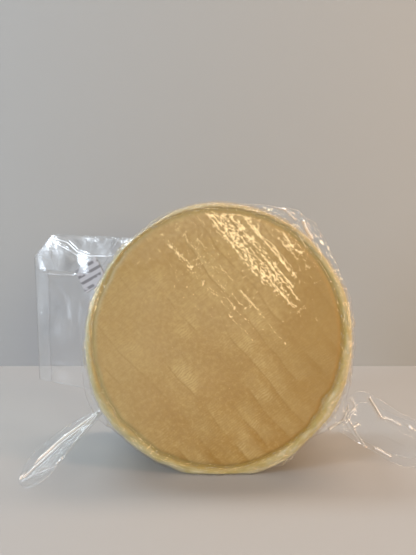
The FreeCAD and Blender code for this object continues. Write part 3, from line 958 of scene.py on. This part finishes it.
def clinging_film_material():
    """Film on the wheel: combed by the strips, torn-looking glints on its face and its rim."""
    material, tree = new_material("clear_film_clinging")
    place = object_place(tree)
    deep = parts_of(tree, place)["Y"]
    on_face = object_place(tree, FACE_MIDDLE, (0, -STRIP_FALL, 0))
    round_rim = round_the_wheel(tree)
    rungs = use_group(tree, STRIPS, Vector=on_face)
    rim = mesh_mark(tree, "rim")
    front = spread(tree, deep, -0.03, -0.026, 1.0, 0.0)
    flat = times(tree, front, maths(tree, "SUBTRACT", 1.0, rim))

    # scraps that seem torn on the face, fewer away from the glare, and glints along the rim
    reach = (1 / GLARE_WIDE, 0.0, 1 / GLARE_TALL)
    glare = object_place(tree, GLARE_MIDDLE, (0, -STRIP_FALL, 0), reach)
    need = spread(tree, vector_maths(tree, "LENGTH", glare), 0.0, 3.0, 0.506, 0.650)
    torn = 0.0
    for drawn_out, scale, detail, rough, share in TORN:
        threads = noise_of(tree, place_by(tree, on_face, (drawn_out, 1.0, 1.0)), scale, detail, rough)
        torn = maths(tree, "MULTIPLY_ADD", threads, share, torn)
    torn = maths(tree, "MULTIPLY_ADD", rungs["Hatch"], -0.035, torn)
    lifted = maths(tree, "MULTIPLY", maths(tree, "SUBTRACT", torn, need), SCRAP_EDGE, clamp=True)
    lifted = times(tree, lifted, flat)
    dashes = noise_of(tree, place_by(tree, round_rim, (0.4, 1.0, 1.0)), 1000.0, 2.0, 0.6)
    dashes = maths(tree, "MULTIPLY_ADD", noise_of(tree, place, 45.0, 1.0), 0.35, dashes)
    glints = maths(tree, "MULTIPLY", maths(tree, "SUBTRACT", dashes, 0.81), SCRAP_EDGE, clamp=True)
    on_rim = times(tree, rim, spread(tree, deep, -0.0285, -0.026, 1.0, 0.0))
    lifted = maths(tree, "MULTIPLY_ADD", glints, on_rim, lifted)
    lying = maths(tree, "SUBTRACT", 1.0, lifted, clamp=True)

    # the lifted film faces its own way, and the rest as its mesh does
    from_glare = object_place(tree, GLARE_MIDDLE)
    facing = vector_maths(tree, "MULTIPLY_ADD", from_glare, LIFTED_BULGE, LIFTED_FACING)
    facing = vector_maths(tree, "SCALE", facing, scale=lifted)
    shape = add(tree, "ShaderNodeNewGeometry").outputs["Normal"]
    shape = vector_maths(tree, "SCALE", shape, scale=lying)
    normal = vector_maths(tree, "NORMALIZE", vector_maths(tree, "ADD", shape, facing))

    # lines along the strips, on the face and on the back, and ropes of film round the rim
    lines = use_group(
        tree, CREASES, Vector=place_by(tree, on_face, (0.08, 1.0, 1.0)), Long_Scale=240.0,
        Fine_Scale=900.0, Fine_Share=0.2,
    )
    behind = spread(tree, deep, 0.028, 0.0305, 0.0, 8.0)
    drawn = times(tree, maths(tree, "ADD", flat, behind), 0.00004)
    drawn = times(tree, lines["Height"], drawn)
    combed = times(tree, rungs["Ladders"], 0.00003)
    ropes = add(tree, "ShaderNodeMapping", Vector=round_rim, Rotation=(0, 0, 0.45))
    ropes = place_by(tree, ropes.outputs["Vector"], (0.45, 1.0, 1.0))
    puckers = use_group(
        tree, CREASES, Vector=ropes, Long_Scale=420.0, Fine_Scale=1300.0, Fine_Share=0.5
    )["Height"]
    puckers = times(tree, puckers, times(tree, rim, lying))
    puckers = times(tree, puckers, 0.0007)
    height = maths(tree, "ADD", maths(tree, "ADD", drawn, combed), puckers)
    tint = (0.985, 0.985, 0.97, 1)
    return film_material(
        material, height, distance=1.0, tint=tint, faces=1.3, rough=0.06, normal=normal
    )


def loose_film_material():
    """Film that stands free: long soft creases and a faint cool tint."""
    material, tree = new_material("clear_film_loose")
    ridges = use_group(
        tree, CREASES, Vector=object_place(tree), Long_Scale=120.0, Fine_Scale=600.0, Fine_Share=0.15
    )
    tint = (0.985, 0.99, 0.995, 1)
    height = ridges["Height"]
    return film_material(material, height, distance=0.00012, tint=tint, faces=1.45, rough=0.07)


def edge_film_material():
    """The melted edge of the film: thicker, so that it shows as a pale line."""
    material, tree = new_material("clear_film_edge")
    grain = noise_of(tree, object_place(tree), 700.0, 2.0)
    tint = (0.94, 0.95, 0.96, 1)
    return film_material(material, grain, distance=0.0001, tint=tint, faces=4.0, rough=0.22)


# the sticker: its turn on the flap and the pitch of its rows, in metres
LABEL_TURN, LABEL_ROW = math.radians(30), 0.0042
PAPER = ((0.50, 0.46, 0.46, 1), (0.58, 0.54, 0.54, 1))
INK = (0.13, 0.11, 0.11, 1)


def label_material():
    """A pale sticker with plain darker bars in rows, none of them letters."""
    low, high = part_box("label")
    centre = [(a + b) / 2 / MM for a, b in zip(low, high)]
    material, tree = new_material("label_paper")
    place = object_place(tree, centre, (0, LABEL_TURN, 0))
    row = maths(tree, "FRACT", maths(tree, "DIVIDE", parts_of(tree, place)["Z"], LABEL_ROW))
    from_middle = maths(tree, "ABSOLUTE", maths(tree, "SUBTRACT", row, 0.5))
    bars = spread(tree, from_middle, 0.18, 0.26, 1.0, 0.0)
    gaps = spread(tree, noise_of(tree, place, 190.0, 1.0), 0.42, 0.5)
    ink = times(tree, bars, gaps)
    paper = blend(tree, noise_of(tree, place, 60.0), *PAPER)
    colour = blend(tree, times(tree, ink, 0.75), paper, INK)
    surface = add(tree, "ShaderNodeBsdfPrincipled", Base_Color=colour, Roughness=0.6)
    finish_material(tree, surface.outputs[0])
    return material


# -------- stage


# how far the wall is behind the wheel's middle, in metres, and the studio's colours
WALL = 0.166
FLOOR_COLOUR, WALL_COLOUR = (0.385, 0.38, 0.375, 1), (0.385, 0.405, 0.42, 1)

# each lamp: its place and target, its size, its power in watts and its colour
LAMPS = {
    "warm_softbox": (
        (0.52, -1.0, 0.37), (0.015, -0.03, 0.115), (0.30, 0.30), 3.9, (1.0, 0.80, 0.47)
    ),
    "cool_window": ((-0.9, -0.52, 0.37), (0, 0, 0.07), (0.2, 0.62), 7.2, (0.74, 0.86, 1.0)),
    "warm_side": ((0.85, -0.35, 0.36), (0.05, 0.0, 0.07), (0.17, 0.54), 5.0, (1.0, 0.62, 0.38)),
    "top_strip_cool": (
        (-0.34, 0.115, 0.78), (-0.34, 0.04, 0.0), (0.5, 0.10), 2.9, (0.78, 0.91, 1.0)
    ),
    "top_strip_warm": (
        (0.28, 0.115, 0.78), (0.28, 0.04, 0.0), (0.5, 0.10), 3.0, (1.0, 0.78, 0.60)
    ),
}

# the room's light, and how much brighter it is in the film's mirroring
ROOM_COLOUR, ROOM_LIGHT, ROOM_MIRRORED = (0.97, 0.965, 0.96, 1), 0.29, 0.30

CAMERA_PLACE, CAMERA_DOWN = (-0.00546, -0.32455, 0.14713), 8.3
SENSOR, LENS = 36.0, 38.92


def stage_plane(name, corners, colour, see_through_back):
    """A plain surface of the studio. A backdrop's back lets the camera see through it."""
    mesh = bpy.data.meshes.new(name)
    mesh.from_pydata([Vector(c) for c in corners], [], [[0, 1, 2, 3]])
    plane = new_object(name, mesh)
    material, tree = new_material(name)
    surface = add(
        tree, "ShaderNodeBsdfPrincipled", Base_Color=colour, Roughness=0.7, Specular_IOR_Level=0.15
    )
    shown = surface.outputs[0]
    if see_through_back:
        behind = add(tree, "ShaderNodeNewGeometry").outputs["Backfacing"]
        clear = add(tree, "ShaderNodeBsdfTransparent")
        shown = two_shaders(tree, behind, shown, clear.outputs[0])
    finish_material(tree, shown)
    mesh.materials.append(material)


def lamp(name, place, target, size, power, colour):
    """A soft square lamp that points at a target, in metres and watts."""
    data = bpy.data.lights.new(name, "AREA")
    data.shape = "RECTANGLE"
    data.size, data.size_y = size
    data.energy = power
    data.color = colour
    made = new_object(name, data)
    made.location = place
    aim = Vector(target) - Vector(place)
    made.rotation_euler = aim.to_track_quat("-Z", "Y").to_euler()


def studio():
    """Pale floor and backdrop, soft lamps, the room's light and the camera."""
    floor = [(-3, -3, 0), (3, -3, 0), (3, 3, 0), (-3, 3, 0)]
    backdrop = [(-3, WALL, 0), (3, WALL, 0), (3, WALL, 3), (-3, WALL, 3)]
    stage_plane("floor", floor, FLOOR_COLOUR, False)
    stage_plane("backdrop", backdrop, WALL_COLOUR, True)
    for name, said in LAMPS.items():
        lamp(name, *said)
    scene = bpy.context.scene
    scene.world = bpy.data.worlds.new("studio")
    scene.world.use_nodes = True
    room = scene.world.node_tree
    sky = room.nodes["Background"].inputs
    mirrored = add(room, "ShaderNodeLightPath").outputs["Is Glossy Ray"]
    feed(room, sky["Color"], ROOM_COLOUR)
    feed(room, sky["Strength"], maths(room, "MULTIPLY_ADD", mirrored, ROOM_MIRRORED, ROOM_LIGHT))
    data = bpy.data.cameras.new("camera")
    data.sensor_width = SENSOR
    data.lens = LENS
    data.clip_start = 0.01
    camera = new_object("camera", data)
    camera.location = CAMERA_PLACE
    camera.rotation_euler = Euler((math.radians(90 - CAMERA_DOWN), 0, 0))
    scene.camera = camera
    scene.view_settings.view_transform = "Standard"
    scene.cycles.transparent_max_bounces = 32


# -------- putting it together

studio()
on_wheel = clinging_film_material()
standing_free = loose_film_material()
wheel = cheese()
wheel.data.materials.append(cheese_material())
wrap = clinging_film()
wrap.data.materials.append(on_wheel)
made = [seam(), ear("left_ear", LEFT_EAR, 61), ear("right_ear", RIGHT_EAR, 81), mouth_flap()]
loose = [piece for piece, _ in made]
for piece in loose:
    piece.data.materials.append(standing_free)
edge_lines = [line for _, lines in made for line in lines]
edging = film_edges(edge_lines, edge_film_material())
for piece in [wheel, wrap, *loose, edging]:
    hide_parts("vacuum_pack")
    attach(piece, "root")
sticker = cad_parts["label"]
sticker.data.materials.clear()
sticker.data.materials.append(label_material())

bpy.context.view_layer.update()
